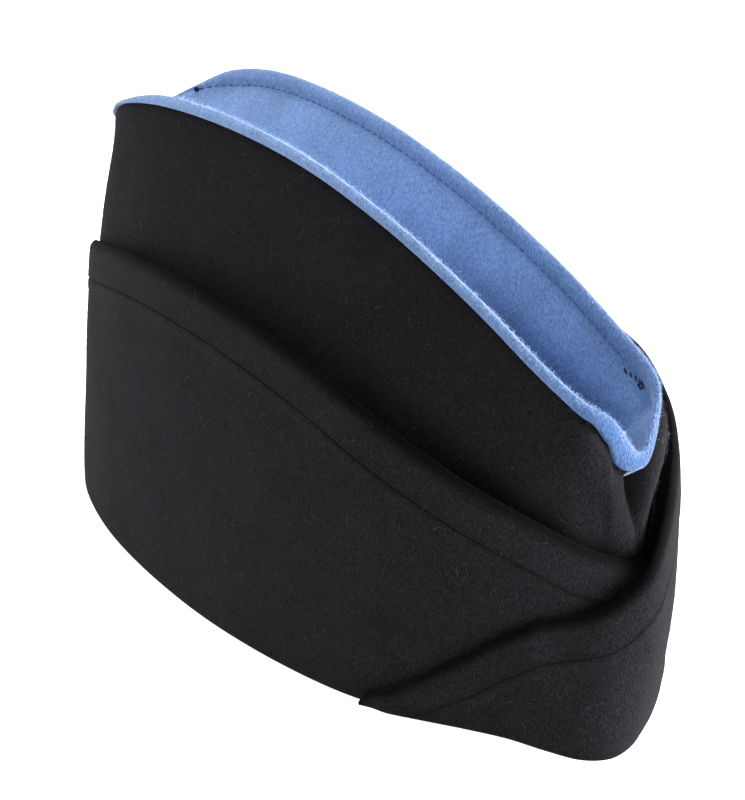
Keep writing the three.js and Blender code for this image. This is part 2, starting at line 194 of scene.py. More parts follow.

# Painted shade on the blue: darker along the ridge's foot, low in the narrow front of the valley, toward the
# front, and outside under the lip; spans are shares of the rim, depths are below it, and rows count from the
# crest of the ridge
RIDGE_SHADE = {"dark": (0.3, 0.34), "span": (0.4, 0.6), "end": (0.8, 0.9), "depth": 4.2, "spread": 2.5}
VALLEY_SHADE = {
    "dark": 0.6,
    "span": (0.54, 0.66),
    "tip": 0.6,
    "tip_span": (0.9, 0.97),
    "narrow_span": (0.6, 0.85),
    "wide_depths": (13.0, 23.0),
    "narrow_depths": (8.0, 16.0),
}
FRONT_SHADE = {"valley": 0.36, "lip": 0.42, "span": (0.4, 0.8)}
LIP_SHADE = {"under": 0.35, "rows": 9.0, "tip": 0.32, "far_tip": 0.2, "span": (0.78, 0.92)}
LIP_BENEATH = {"dark": 0.8, "rows": (12.0, 17.0)}
SHADE_TURN = 6.0

# Inner side of the blue ridge (inset, drop), from below the stitch at its foot up to the crest
RIDGE_INNER = np.array([
    (3.4, 7.6), (2.6, 6.4), (2.0, 5.5), (1.7, 4.9), (1.6, 4.2),
    (1.6, 3.2), (1.45, 2.0), (1.05, 0.9), (0.5, 0.22), (-0.1, 0.0),
])
STITCH_ROW = 3

# Outer side of the ridge, from the crest to the lip's tucked lower edge
RIDGE_OUTER = np.array([
    (-0.55, 0.3), (-0.9, 1.2), (-1.0, 2.2), (-0.9, 3.0), (-0.5, 3.5),
    (0.1, LIP), (0.5, LIP), (0.7, 3.9), (0.75, 8.2),
])
LIP_END_ROW = 5

# Made rows for each row of the tables, and the made row of the crest
DENSE = 3
CREST = DENSE * (len(FLOOR_SHARES) + len(RIDGE_INNER) - 1)

# Fold at the base, from the inner return round to the wall: inset and height of the inner face,
# then of the outer face
FOLD_WITH_RETURN = np.array([
    (5.8, 13.0, 7.4, 13.0),
    (5.2, 4.0, 7.0, 3.0),
    (4.9, 2.0, 6.2, 0.0),
    (2.2, 2.0, 0.9, 0.0),
    (2.0, 3.0, 0.1, 1.4),
])
FOLD_WITH_FOOT = np.array([
    (5.7, 2.0, 6.4, 1.2),
    (5.2, 2.0, 6.3, 0.5),
    (4.7, 2.0, 5.9, 0.0),
    *FOLD_WITH_RETURN[3:],
])
FOLD_PLAIN = np.array([
    (2.0, 1.4, 2.0, 1.0),
    (2.0, 1.8, 1.9, 0.4),
    (2.0, 2.2, 1.5, 0.0),
    (2.0, 2.5, 0.5, 0.0),
    (2.0, 3.0, 0.1, 0.8),
])

# Machine stitches, hand stitches, loop and knot: a strand starts sunk in the cloth and bows out of it
STITCH = {"length": 2.5, "pitch": 3.0, "radius": 0.17, "sunk": 0.22, "bow": 0.3, "thin": 0.35}
STITCH_POWER = 0.7
STITCH_STEP = 0.1
STITCH_STATIONS = 7
HEM_STITCH = {"start": 0.004, "count": 2400, "lowest": 0.6, "above": 0.15}
RIDGE_STITCH = {"start": 0.17, "right_end": 0.915, "count": 1600, "lift": 0.12, "tilt": 0.3}
TACKS = {"from": 0.772, "to": 0.815, "count": 4, "drop": 6.2, "climb": 1.6, "slant": 0.8}
TACK_STRAND = {"radius": 0.3, "sunk": 0.2, "bow": 0.5, "thin": 0.4, "stations": 9}
COIL = {"steps": 16, "lift": 0.15}
LOOP = {"past": 0.002, "below": 0.6}
KNOT = {"share": 0.168, "drop": 4.9}

# Fibres: spread and limit of length, least share of lift, range of radius, most curl, and their arch
FIBRE = {"vary": 0.4, "longest": 1.5, "lift": 0.2, "thin": 0.6, "thick": 1.3, "curl": 1.6, "arch": 2.0}
FIBRE_ROOT = 0.08
FIBRE_LOWEST = 0.2
FIBRE_SIDES = 3
THREAD_SIDES = 6


def ease(value, low, high):
    """Smooth step from 0 at low to 1 at high."""
    part = np.clip((value - low) / (high - low), 0.0, 1.0)
    return part * part * (3.0 - 2.0 * part)


def mix(first, second, part):
    """Straight mix of two values or points."""
    return first + (second - first) * part


def bump(value, middle, width):
    """Bell curve of height 1 round the middle."""
    return np.exp(-(((value - middle) / width) ** 2))


def unit(vectors):
    """Vectors scaled to length 1."""
    return vectors / np.maximum(np.linalg.norm(vectors, axis=-1, keepdims=True), 1e-12)


def cubic(first, start, end, last, part):
    """Cubic from start to end, its tangent at each half the step between that point's neighbours."""
    square = 2 * first - 5 * start + 4 * end - last
    cube = 3 * start - first - 3 * end + last
    return 0.5 * (2 * start + (end - first) * part + square * part**2 + cube * part**3)


def smooth_line(before, points, after):
    """Line of cubics through the points, shares 0 and 1 being its ends."""
    rows = np.vstack([2 * before - points[0], before, points, after, 2 * after - points[-1]])
    spans = len(points) - 1

    def at(share):
        place = np.asarray(share, float) * spans
        index = np.clip(np.floor(place).astype(int), -1, spans)
        part = (place - index)[..., None]
        return cubic(*(rows[index + step] for step in (1, 2, 3, 4)), part)

    return at


def plan_rows(table, column):
    """Points (x, y, 0) read from two columns of a table."""
    return np.column_stack([table[:, column : column + 2], np.zeros(len(table))])


def side_line(points):
    """Line of one side that meets its mirror image squarely at the back and front seams."""
    return smooth_line(points[1] * MIRROR, points, points[-2] * MIRROR)


def wrap_line(side_points, wrap_points):
    """Line of the left turn-up: along the side, then round the front to the low end of its flap."""
    points = np.vstack([side_points[: WRAP_AFTER_ROW + 1], wrap_points])
    return smooth_line(points[1] * MIRROR, points, 2 * points[-1] - points[-2])


fold_line = side_line(plan_rows(SECTIONS, 0))
hem_line = side_line(SECTIONS[:, 2:5])
rim_line = side_line(SECTIONS[:, 5:8])
wrap_fold = wrap_line(plan_rows(SECTIONS, 0), plan_rows(WRAP, 0))
wrap_hem = wrap_line(SECTIONS[:, 2:5], WRAP[:, 2:5])
spine_rows = np.column_stack([SPINE[:, 0], np.zeros(len(SPINE)), SPINE[:, 1]])
spine_line = smooth_line(spine_rows[0], spine_rows, spine_rows[-1])


def back_drop(side, share):
    """How far the rim of one side sinks toward the back seam."""
    low, high = BACK_DROP[side]
    return BACK_DROP["height"] * (1 - ease(np.asarray(share, float), low, high))


def rim_left(share):
    """Rim of the left side, sunk toward the back seam."""
    return rim_line(share) - back_drop("left", share)[..., None] * UP


def rim_right(share):
    """Rim of the right side: the left one's line, sunk at the back and lifted beside the front tip."""
    share = np.asarray(share, float)
    lift = RIGHT_LIFT["height"] * bump(share, RIGHT_LIFT["share"], RIGHT_LIFT["spread"])
    lift = lift * (1 - ease(share, *RIGHT_LIFT["fade"])) - back_drop("right", share)
    return rim_line(share) + lift[..., None] * UP


RIMS = {"left": rim_left, "right": rim_right}
TURNS = {"left": np.array([1.0, 1.0, 1.0]), "right": MIRROR}


def offset(line, share, inset, drop=0.0):
    """Point of a line moved inward in plan by inset, and down by drop leaning square to the line."""
    share = np.asarray(share, float)
    tangent = unit(line(share + TANGENT_STEP) - line(share - TANGENT_STEP))
    outward = unit(np.stack([-tangent[..., 1], tangent[..., 0], np.zeros_like(share)], axis=-1))
    down = unit(tangent * (DROP_LEAN * tangent[..., 2:3]) - UP)
    inset = np.asarray(inset, float)[..., None]
    drop = np.asarray(drop, float)[..., None]
    return line(share) - outward * inset + down * drop


def outward_of(line, share):
    """Unit vector pointing out of a line in plan."""
    return offset(line, share, -1.0) - offset(line, share, 0.0)


def soft_waves(points, amplitude, wavelength, seed):
    """Sum of plane sine waves of mixed directions and about one wavelength, for the slack of cloth."""
    draw = np.random.default_rng(seed)
    total = np.zeros(points.shape[:-1])
    for _ in range(WAVES["count"]):
        direction = unit(draw.normal(size=3))
        step = 2 * math.pi / (wavelength * draw.uniform(WAVES["shortest"], WAVES["longest"]))
        total += np.sin(points @ direction * step + draw.uniform(0, 2 * math.pi))
    return amplitude * total / WAVES["divide"]


def lip_at(side, share):
    """Height and flare of the blue lip on one side, eased from row to row of its table."""
    rows = LIP_ROWS[side]
    share = np.clip(share, 0.0, 1.0)
    row = np.clip(np.searchsorted(rows[:, 0], share), 1, len(rows) - 1)
    part = ease(share, rows[row - 1, 0], rows[row, 0])
    height = mix(rows[row - 1, 1], rows[row, 1], part) - back_drop(side, share)
    flare = mix(rows[row - 1, 2], rows[row, 2], part)
    return height, flare


def dense_rows(rows, count):
    """Rows of points carried on to count rows by a cubic through them, axis 1 being the row."""
    stack = np.moveaxis(rows, 1, 0)
    place = np.linspace(0.0, len(stack) - 1, count)
    index = np.minimum(place.astype(int), len(stack) - 2)
    part = (place - index).reshape((-1,) + (1,) * (stack.ndim - 1))
    last = len(stack) - 1
    made = cubic(*(stack[np.clip(index + step, 0, last)] for step in (-1, 0, 1, 2)), part)
    return np.moveaxis(made, 0, 1)


def to_frame(points):
    """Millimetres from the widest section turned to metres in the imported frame."""
    return (points - np.array([MIDDLE_X, 0.0, 0.0])) * MM


def grid_quads(columns, rows, wrap=False):
    """Corner numbers of the quads of a grid; with wrap, the last column joins the first."""
    last = columns if wrap else columns - 1
    column, row = np.meshgrid(np.arange(last), np.arange(rows - 1), indexing="ij")
    column, row = column.ravel(), row.ravel()
    after = (column + 1) % columns
    return np.column_stack([
        column * rows + row,
        after * rows + row,
        after * rows + row + 1,
        column * rows + row + 1,
    ])


def make_piece(name, points, quads, triangles, material, shade=None):
    """Mesh object at the origin from points in millimetres, its faces turned outward by its volume.

    The painted shade, one number per point, darkens the cloth's colour."""
    triangles = np.zeros((0, 3), int) if triangles is None else triangles
    points = to_frame(points)
    split = np.vstack([quads[:, [0, 1, 2]], quads[:, [0, 2, 3]], triangles])
    a, b, c = (points[split[:, corner]] for corner in range(3))
    if (a * np.cross(b, c)).sum() < 0:
        quads, triangles = quads[:, ::-1], triangles[:, ::-1]
    mesh = bpy.data.meshes.new(name)
    loops = np.concatenate([quads.ravel(), triangles.ravel()]).astype(np.int32)
    sizes = np.concatenate([np.full(len(quads), 4), np.full(len(triangles), 3)])
    starts = np.concatenate([[0], np.cumsum(sizes)[:-1]]).astype(np.int32)
    mesh.vertices.add(len(points))
    mesh.vertices.foreach_set("co", points.astype(np.float32).ravel())
    mesh.loops.add(len(loops))
    mesh.loops.foreach_set("vertex_index", loops)
    mesh.polygons.add(len(sizes))
    mesh.polygons.foreach_set("loop_start", starts)
    mesh.polygons.foreach_set("use_smooth", np.full(len(sizes), True))
    values = np.ones(len(points)) if shade is None else shade
    mesh.attributes.new("shade", "FLOAT", "POINT").data.foreach_set("value", values.astype(np.float32))
    mesh.update(calc_edges=True)
    mesh.validate()
    mesh.materials.append(material)
    piece = bpy.data.objects.new(name, mesh)
    bpy.context.scene.collection.objects.link(piece)
    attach(piece, "root")
    return piece


def wall_piece(name, outer, inner, material, shade):
    """Closed cloth wall from an outer and an inner grid of points, joined round their four borders."""
    columns, rows = outer.shape[:2]
    shift = columns * rows
    face = grid_quads(columns, rows)
    ends = []
    row = np.arange(rows - 1)
    column = np.arange(columns - 1)
    for base in (0, (columns - 1) * rows):
        low, high = base + row, base + row + 1
        ends.append(np.column_stack([low, high, high + shift, low + shift])[:, :: 1 if base == 0 else -1])
    for base in (0, rows - 1):
        low, high = column * rows + base, (column + 1) * rows + base
        ends.append(np.column_stack([low, high, high + shift, low + shift])[:, :: -1 if base == 0 else 1])
    quads = np.vstack([face, face[:, ::-1] + shift, *ends])
    points = np.vstack([outer.reshape(-1, 3), inner.reshape(-1, 3)])
    # the inner face gets a darker painted shade
    shades = np.concatenate([shade.ravel(), INSIDE_SHADE * shade.ravel()])
    return make_piece(name, points, quads, None, material, shades)


def spindles(centres, sides_to, radii, sides):
    """Many closed round strands: centres (n, stations, 3), a guide vector each, radii per station.

    Each inner station is a ring of points round the strand, and the two end stations are its tips."""
    count, stations = centres.shape[:2]
    along = unit(np.gradient(centres, axis=1))
    across = unit(np.cross(along, sides_to[:, None, :]))
    upward = np.cross(across, along)
    angle = np.arange(sides) * 2 * math.pi / sides
    ring = across[:, :, None] * np.cos(angle)[:, None] + upward[:, :, None] * np.sin(angle)[:, None]
    rings = centres[:, 1:-1, None] + ring[:, 1:-1] * radii[:, 1:-1, None, None]
    size = (stations - 2) * sides + 2
    points = np.concatenate([centres[:, :1], rings.reshape(count, -1, 3), centres[:, -1:]], axis=1)
    side = np.arange(sides)
    beside = (side + 1) % sides
    quads = np.vstack([np.zeros((0, 4), int)] + [
        np.column_stack([1 + k * sides + side, 1 + k * sides + beside,
                         1 + (k + 1) * sides + beside, 1 + (k + 1) * sides + side])
        for k in range(stations - 3)
    ])
    tail = 1 + (stations - 3) * sides
    triangles = np.vstack([
        np.column_stack([np.zeros(sides, int), 1 + beside, 1 + side]),
        np.column_stack([np.full(sides, size - 1), tail + side, tail + beside]),
    ])
    base = (np.arange(count) * size)[:, None, None]
    return points.reshape(-1, 3), (quads + base).reshape(-1, 4), (triangles + base).reshape(-1, 3)


def panel_face(side, along, up, inset):
    """Side panel: a quadratic curve from the fold to the underside of the lip, full at its middle.

    Beside the front seam it is drawn in low down, puffed out under the rim and dips into a groove;
    both seam edges and the top edge turn inward as sewn cloth does."""
    low = offset(fold_line, along, CLOTH + LAYER_GAP + inset)
    low[..., 2] = CLOTH + LAYER_GAP
    lip_height, lip_flare = lip_at(side, along)
    high_inset = PANEL_TOP_INSET - PANEL_TOP_FLARE * lip_flare + inset
    high = offset(RIMS[side], along, high_inset, lip_height + LIP_GAP)
    lean = mix(PANEL_LEAN["back"], PANEL_LEAN["middle"], ease(along, 0.0, PANEL_LEAN["until"]))
    full = mix(low, high, lean[..., None])
    full[..., 2] = high[..., 2] * PANEL_FULL_HEIGHT
    part = up[..., None]
    point = (1 - part) ** 2 * low + 2 * part * (1 - part) * full + part**2 * high
    outward = outward_of(fold_line, along)
    height, top = point[..., 2], high[..., 2]
    beside = ease(along, *FRONT_SPAN["in"]) * (1 - ease(along, *FRONT_SPAN["out"]))
    pinch = FRONT_PINCH["depth"] * (1 - ease(height, FRONT_PINCH["low"], FRONT_PINCH["high"]))
    puff = FRONT_PUFF["depth"] * bump(height, top - FRONT_PUFF["below"], FRONT_PUFF["spread"])
    puff = puff * ease(top - height, 0.0, FRONT_PUFF["edge"])
    belly = FRONT_BELLY["depth"] * bump(height, FRONT_BELLY["height"], FRONT_BELLY["spread"])
    belly = belly * ease(along, *FRONT_BELLY["span"])
    dip = BACK_DIP["depth"] * bump(top - height, BACK_DIP["below"], BACK_DIP["spread"])
    dip = dip * ease(top - height, 0.0, BACK_DIP["edge"]) * (1 - ease(along, *BACK_DIP["span"]))
    move = beside * (puff - pinch) + belly - dip
    point = point + outward * move[..., None]
    rise = ease(point[..., 2], *GROOVE["rise"])
    width = mix(GROOVE["low"], GROOVE["high"], rise)
    closing = 1 - ease(point[..., 2], *(top + edge for edge in GROOVE["shut"]))
    groove = GROOVE["depth"] * bump(point[..., 1], 0.0, width) * (point[..., 0] > 0) * rise * closing
    point[..., 0] -= groove
    seam = SEAM_ROUND["depth"] * bump(point[..., 1], 0.0, SEAM_ROUND["width"])
    seam = seam * mix(SEAM_ROUND["low"], 1.0, rise)
    tuck = PANEL_TUCK["depth"] * (1 - ease(top - point[..., 2], 0.0, PANEL_TUCK["height"]))
    slack = soft_waves(point, *PANEL_SLACK["waves"]) * ease(top - point[..., 2], *PANEL_SLACK["below"])
    slack = slack * ease(along, 0.0, PANEL_SLACK["back"])
    point = point + outward * (slack - seam - tuck)[..., None]
    point[..., 1] = np.maximum(point[..., 1], SEAM_HALF_GAP)
    return point


def seam_spread(count):
    """Shares from 0 to 1 set closer together toward both ends."""
    share = np.linspace(0.0, 1.0, count)
    return share - PANEL_CROWDING["seams"] * np.sin(2 * math.pi * share)


def crown_panel(name, side, material):
    """One side panel as a closed wall, thinner along its sewn top edge."""
    columns, rows = PANEL_GRID
    share = np.linspace(0.0, 1.0, rows)
    up_rows = 1 - (1 - share) ** PANEL_CROWDING["top"]
    along, up = np.meshgrid(seam_spread(columns), up_rows, indexing="ij")
    cloth = mix(CLOTH, PANEL_EDGE["cloth"], ease(up, PANEL_EDGE["from"], PANEL_EDGE["to"]))
    outer = panel_face(side, along, up, np.zeros_like(up)) * TURNS[side]
    inner = panel_face(side, along, up, cloth) * TURNS[side]
    # painted shadow on the panel just above its hem, and painted shade in the groove under the front tip
    above = outer[..., 2] - hem_line(along)[..., 2]
    dark = mix(ABOVE_HEM_SHADE["back"], ABOVE_HEM_SHADE["front"], ease(along, *ABOVE_HEM_SHADE["span"]))
    shade = 1 - dark * (1 - ease(above, *ABOVE_HEM_SHADE["heights"]))
    beside = bump(outer[..., 1], 0.0, GROOVE_SHADE["width"]) * (outer[..., 0] > 0)
    shade *= 1 - GROOVE_SHADE["dark"] * beside * ease(outer[..., 2], *GROOVE_SHADE["heights"])
    return wall_piece(name, outer, inner, material, shade), outer


def ridge_inner(side, share, inset, drop):
    """Inner side of the ridge: inset and drop from the rim line, lower and thinner toward both ends."""
    back = ease(share, RIDGE_BACK["from"], RIDGE_BACK["to"])
    front = 1 - ease(share, RIDGE_FRONT["to"], RIDGE_FRONT["from"])
    depth = mix(RIDGE_BACK["depth"], 1.0, back) * mix(RIDGE_FRONT["depth"], 1.0, front)
    return offset(RIMS[side], share, inset * mix(RIDGE_END["inset"], 1.0, back * front), drop * depth)


def ridge_outer(side, share, inset, drop):
    """Outer side of the ridge: inset and drop from the rim line, stretched to the lip's table."""
    from_end = np.minimum(share, 1 - share)
    depth = mix(RIDGE_END["under"], 1.0, ease(from_end, 0.0, RIDGE_END["under_share"]))
    lip_height, lip_flare = lip_at(side, share)
    lip_part = np.minimum(drop / LIP, 1.0)
    fall = lip_part * lip_height + np.maximum(drop - LIP, 0.0) * depth
    return offset(RIMS[side], share, inset - lip_part * lip_flare, fall)


def floor_point(share, toward, start, sink):
    """Blue floor: it sinks from the ridge's foot to the middle line, steep at first and level there."""
    middle = spine_line(share)
    point = mix(start, middle, toward)
    point[..., 2] = mix(start[..., 2], middle[..., 2] - sink, 1 - (1 - toward) ** FLOOR_ROUNDING)
    return point


def valley_shade(side, share, rows):
    """Painted shade of the blue top: dark at the ridge's foot, low in the valley, under the lip and at the
    front.
    """
    share = share[:, None]
    depth = RIMS[side](share)[..., 2] - rows[..., 2]
    back = ease(share, RIDGE_BACK["from"], RIDGE_BACK["to"])
    front = 1 - ease(share, *RIDGE_SHADE["end"])
    dark = mix(*RIDGE_SHADE["dark"], ease(share, *RIDGE_SHADE["span"]))
    foot = dark * bump(depth, RIDGE_SHADE["depth"], RIDGE_SHADE["spread"])
    forward = ease(share, *VALLEY_SHADE["span"])
    forward = forward * (1 - VALLEY_SHADE["tip"] * ease(share, *VALLEY_SHADE["tip_span"]))
    narrow = ease(share, *VALLEY_SHADE["narrow_span"])
    depths = zip(VALLEY_SHADE["wide_depths"], VALLEY_SHADE["narrow_depths"])
    low_from, low_to = (mix(wide, tight, narrow) for wide, tight in depths)
    low = VALLEY_SHADE["dark"] * ease(depth, low_from, low_to)
    toward_front = ease(share, *FRONT_SHADE["span"])
    inside = (1 - foot * back * front) * (1 - low * forward) * (1 - FRONT_SHADE["valley"] * toward_front)
    place = np.arange(rows.shape[1])
    outside = 1 - LIP_SHADE["under"] * ease(place, CREST, CREST + LIP_SHADE["rows"])
    outside = outside * (1 - FRONT_SHADE["lip"] * toward_front)
    outside *= 1 - LIP_SHADE["tip"] * ease(share, *LIP_SHADE["span"])
    outside *= 1 - LIP_BENEATH["dark"] * ease(place, *(CREST + row for row in LIP_BENEATH["rows"]))
    if side == "left":
        outside *= 1 - LIP_SHADE["far_tip"] * ease(share, *LIP_SHADE["span"])
    return mix(inside, outside, ease(place, CREST - SHADE_TURN, CREST))


def blue_top(name, material):
    """Blue top: a loop round the rim, its section from the middle line over the ridge and back beneath."""
    half = GUSSET_STEPS // 2
    share = np.arange(half + 1) / half
    sections = []
    shades = []
    for side in ("left", "right"):
        inner = [ridge_inner(side, share, inset, drop) for inset, drop in RIDGE_INNER]
        outer = [ridge_outer(side, share, inset, drop) for inset, drop in RIDGE_OUTER]
        floor_top = [floor_point(share, toward, inner[0], 0.0) for toward in FLOOR_SHARES]
        back_shares = FLOOR_SHARES[::-1]
        floor_under = [floor_point(share, toward, outer[-1], GUSSET_CLOTH) for toward in back_shares]
        rows = np.stack(floor_top + inner + outer + floor_under, axis=1)
        rows = dense_rows(rows, DENSE * (rows.shape[1] - 1) + 1) * TURNS[side]
        rows[[0, half], :, 1] = 0.0
        sections.append(rows)
        shades.append(valley_shade(side, share, rows))
    rows = np.concatenate([sections[0], sections[1][-2:0:-1]])
    shade = np.concatenate([shades[0], shades[1][-2:0:-1]])
    columns, count = rows.shape[:2]
    number = np.arange(columns * count).reshape(columns, count)
    opposite = columns - np.arange(half + 1, columns)
    number[half + 1 :, 0] = number[opposite, 0]
    number[half + 1 :, -1] = number[opposite, -1]
    quads = number.ravel()[grid_quads(columns, count, wrap=True)]
    used, quads = np.unique(quads, return_inverse=True)
    points = rows.reshape(-1, 3)[used]
    piece = make_piece(name, points, quads.reshape(-1, 4), None, material, shade.ravel()[used])
    return piece, rows, shade


def edge_cosine(hem, along):
    """Cosine of the slope of a hem's edge."""
    tangent = unit(hem(along + EDGE_STEP) - hem(along - EDGE_STEP))
    return np.sqrt(1 - tangent[..., 2] ** 2)


def hem_share(side, along):
    """Width of a hem as a share of its full width: 1, but less on the flap of the left turn-up."""
    flap = ease(along, FLAP_HEM["from"], FLAP_HEM["to"]) * (side == "left")
    return mix(1.0, FLAP_HEM["share"], flap)


def hem_relief(distance, along):
    """Raised band of the hem, less its stitch groove and the line of the rolled edge, calm at the back."""
    band_end = ease(distance, HEM_WIDTH - HEM_RAISE["before"], HEM_WIDTH + HEM_RAISE["after"])
    band = HEM_RAISE["height"] * (1 - band_end)
    groove = HEM_GROOVE["depth"] * bump(distance, HEM_WIDTH, HEM_GROOVE["width"])
    roll = ROLL_LINE["depth"] * bump(distance, ROLL_LINE["below"], ROLL_LINE["width"])
    roll = roll * (1 - ROLL_LINE["fade"] * ease(along, *ROLL_LINE["span"]))
    calm = mix(HEM_CALM["least"], 1.0, ease(along, 0.0, HEM_CALM["share"]))
    return (band - groove - roll) * calm


def wall_point(fold, hem, along, rise, inset):
    """Turn-up wall: straight from fold to hem, with a half-sine swell that fades where the hem is low."""
    low = offset(fold, along, inset)
    high = offset(hem, along, inset)
    from_back = ease(low[..., 0] - SECTIONS[0, 0], 0.0, CURTAIN_SWELL["until"])
    amount = mix(CURTAIN_SWELL["back"], CURTAIN_SWELL["middle"], from_back)
    swell = amount * ease(high[..., 2], *CURTAIN_SWELL["heights"]) * np.sin(math.pi * rise)
    return mix(low, high, rise[..., None]) + outward_of(fold, along) * swell[..., None]


def turn_up(name, side, fold, hem, end, ends, tip, material, columns):
    """Turn-up: a fold under the side panel's lower edge, a wall and a rounded hem, as one closed wall.

    Past the tip share the cloth is pressed thin, so that the flap's low end lies flat on the right one."""
    along = (np.linspace(0.0, 1.0, columns) * end)[:, None]
    height = hem(along)[..., 2]
    nose = (along - tip - FLAP_TIP["end"] + FLAP_TIP["share"]) / FLAP_TIP["nose"] + 1
    nose = np.clip(nose, 0.0, FLAP_TIP["bluntness"])
    top = height * np.sqrt(1 - nose**2)
    shrink = np.minimum(1.0, top / HEM_FULL_HEIGHT)
    cosine = edge_cosine(hem, along)
    to_foot = ease(along, ends[0], ends[1])
    to_plain = ease(along, ends[2], ends[3])
    fold_rows = mix(FOLD_WITH_RETURN[None], FOLD_WITH_FOOT[None], to_foot[..., None])
    fold_rows = dense_rows(mix(fold_rows, FOLD_PLAIN[None], to_plain[..., None]), FOLD_ROWS)
    wall_share = np.linspace(0.0, 1.0, WALL_ROWS)[1:-1]
    roll_rows = HEM_OUTER["height"] * (1 - np.cos(np.linspace(math.pi / 2, *HEM_ROLL_ROWS)))
    hem_rows = np.concatenate([*(np.linspace(*span) for span in HEM_ROWS), roll_rows])
    corner = HEM_CORNER["drop"] * (1 - ease(along, 0.0, HEM_CORNER["share"]))
    corner = corner * (1 - ease(hem_rows, 0.0, HEM_CORNER["depth"]))
    squeeze = FLAP_TIP["squeeze"] * ease(along, tip, tip + 1 - FLAP_TIP["share"])
    slope = hem_share(side, along) / cosine
    wall_z = mix(WALL_START * shrink, top - HEM_DEEP * slope * shrink, wall_share[None])
    hem_z = top - hem_rows[None] * slope * shrink - corner
    faces = []
    shade = None
    for column, hem_way in ((2, -1.0), (0, 1.0)):
        fold_z = np.maximum(fold_rows[..., column + 1], 0.0) * shrink
        wall_inset = np.full_like(wall_z, 0.0 if hem_way < 0 else CLOTH)
        edge = HEM_OUTER if hem_way < 0 else HEM_INNER
        rounding = np.sqrt(1 - np.clip(1 - hem_rows / edge["height"], 0.0, 1.0) ** 2)
        hem_full = edge["inset"] - hem_way * edge["roll"] * (1 - rounding)
        blend = ease(HEM_DEEP - hem_rows, 0.0, HEM_BLEND)
        hem_inset = mix(wall_inset[:, :1], hem_full[None], blend[None])
        z = np.concatenate([fold_z, wall_z, hem_z], axis=1)
        inset = np.concatenate([fold_rows[..., column], wall_inset, hem_inset], axis=1)
        inset = mix(inset, FLAP_TIP["inset"] if hem_way < 0 else CLOTH, squeeze)
        spread = np.broadcast_to(along, z.shape)
        distance = (top - z) / slope
        if hem_way < 0:
            flat = wall_point(fold, hem, spread, z / height, inset)
            above_fold = ease(z, *ABOVE_FOLD)
            relief = hem_relief(distance, spread) * ease(distance, *RELIEF_START)
            slack = soft_waves(flat, *CURTAIN_SLACK["waves"])
            slack = slack * ease(distance, *CURTAIN_SLACK["below"]) * above_fold
            inset = inset - (relief * above_fold + slack) * (1 - squeeze)
            # painted shade on the hem's rolled edge and in its stitch groove
            roll = HEM_SHADE["edge"] * (1 - ease(distance, 0.0, HEM_SHADE["width"]))
            sewn = HEM_SHADE["groove"] * bump(distance, HEM_WIDTH, HEM_SHADE["spread"])
            shade = (1 - roll) * (1 - sewn)
        point = wall_point(fold, hem, spread, z / height, inset)
        kept_apart = np.maximum(point[..., 1], SEAM_HALF_GAP)
        point[..., 1] = np.where(spread < BACK_SEAM_SHARE, kept_apart, point[..., 1])
        faces.append(point * TURNS[side])
    return wall_piece(name, faces[0], faces[1], material, shade), faces[0]


def resample(path, step):
    """Places along a path of points at even steps of arc length, as fractional point numbers."""
    length = np.concatenate([[0.0], np.cumsum(np.linalg.norm(np.diff(path, axis=0), axis=1))])
    count = int(length[-1] / step)
    return np.interp(np.arange(count) * step, length, np.arange(len(path)))


def at_number(rows, number):
    """Rows read at fractional row numbers."""
    low = np.clip(np.floor(number).astype(int), 0, len(rows) - 2)
    part = (number - low)[..., None]
    return rows[low] * (1 - part) + rows[low + 1] * part


def stitch_row(name, path, normals, material, lift=0.02):
    """Row of machine stitches: strands along a path, each bowed out of the cloth between its sunk ends."""
    fine = resample(path, STITCH_STEP)
    line, normal = at_number(path, fine), unit(at_number(normals, fine))
    count = int((len(line) - 1) * STITCH_STEP / STITCH["pitch"])
    start = np.arange(count) * STITCH["pitch"] / STITCH_STEP
    number = start[:, None] + np.linspace(0.0, STITCH["length"] / STITCH_STEP, STITCH_STATIONS)[None]
    bow = np.sin(np.linspace(0.0, math.pi, STITCH_STATIONS)) ** STITCH_POWER
    height = lift - STITCH["sunk"] + STITCH["bow"] * bow
    centres = at_number(line, number) + at_number(normal, number) * height[None, :, None]
    radii = np.broadcast_to(STITCH["radius"] * np.maximum(bow, STITCH["thin"]), (count, STITCH_STATIONS))
    middle = at_number(normal, start + STITCH["length"] / STITCH_STEP / 2)
    piece = make_piece(name, *spindles(centres, middle, radii, THREAD_SIDES), material)


def grid_normals(grid):
    """Unit normals of a grid of points, from its two directions."""
    return unit(np.cross(np.gradient(grid, axis=0), np.gradient(grid, axis=1)))


